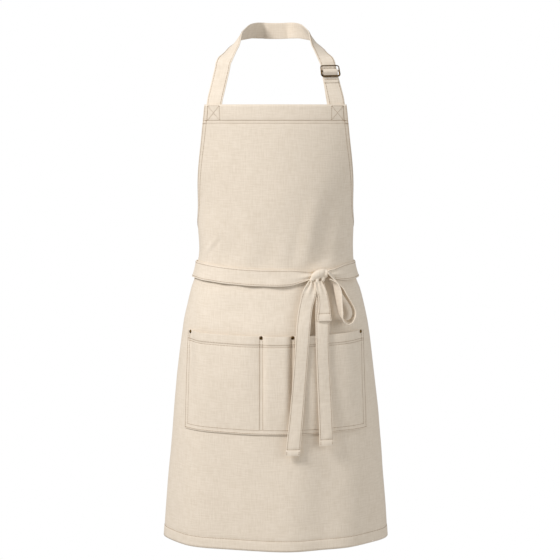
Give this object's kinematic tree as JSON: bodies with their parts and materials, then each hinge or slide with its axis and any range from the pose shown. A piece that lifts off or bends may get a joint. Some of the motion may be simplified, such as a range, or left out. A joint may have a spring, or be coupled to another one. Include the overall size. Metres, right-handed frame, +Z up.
{
  "type": "artist apron",
  "caption": "Canvas bib apron for painting, worn and tied: sliding neck strap buckle, three-part riveted pocket, waist ties in a bow.",
  "frame": {"origin": "middle of the neck strap's inner face, where it bears on the back of the neck", "axes": "+Z up, -Y the way the wearer faces, +X the wearer's left"},
  "size_m": [0.4536, 0.2854, 1.0313],
  "materials": {
    "canvas": "natural undyed cotton canvas, plain weave, with tan topstitching",
    "webbing": "natural cotton canvas folded and stitched into flat straps and ties",
    "antique_brass": "antique brass, darkened and lightly rubbed"
  },
  "bodies": {
    "apron": {"apron_panel": "canvas", "pocket_panel": "canvas", "pocket_rivet_1": "antique_brass", "pocket_rivet_2": "antique_brass", "pocket_rivet_3": "antique_brass", "pocket_rivet_4": "antique_brass", "rivet_burr_1": "antique_brass", "rivet_burr_2": "antique_brass", "rivet_burr_3": "antique_brass", "rivet_burr_4": "antique_brass", "waist_tie_left": "webbing", "waist_tie_right": "webbing", "waist_knot": "webbing", "neck_strap_left": "webbing", "neck_strap_right": "webbing", "neck_strap_nape": "webbing"},
    "buckle": {"buckle_frame": "antique_brass", "buckle_fold": "webbing"},
    "bow": {"bow_loop": "webbing"},
    "left_tail": {"tie_tail_left": "webbing"},
    "right_tail": {"tie_tail_right": "webbing"},
    "short_end": {"tie_short_end": "webbing"}
  },
  "joints": [
    {"name": "buckle_slide", "type": "slide", "parent": "apron", "child": "buckle", "axis": [-0.218, 0.2521, 0.9428], "range_m": [-0.037, 0.009]},
    {"name": "bow_lift", "type": "hinge", "parent": "apron", "child": "bow", "pos_m": [0.104, -0.147, -0.4755], "axis": [-1, 0, 0], "range_deg": [0, 60]},
    {"name": "left_tail_lift", "type": "hinge", "parent": "apron", "child": "left_tail", "pos_m": [0.07598, -0.1698, -0.49027], "axis": [-1, 0, 0], "range_deg": [0, 70]},
    {"name": "right_tail_lift", "type": "hinge", "parent": "apron", "child": "right_tail", "pos_m": [0.09116, -0.16677, -0.49348], "axis": [-1, 0, 0], "range_deg": [0, 70]},
    {"name": "short_end_lift", "type": "hinge", "parent": "right_tail", "child": "short_end", "pos_m": [0.09286, -0.16677, -0.494], "axis": [-1, 0, 0], "range_deg": [0, 45]}
  ]
}
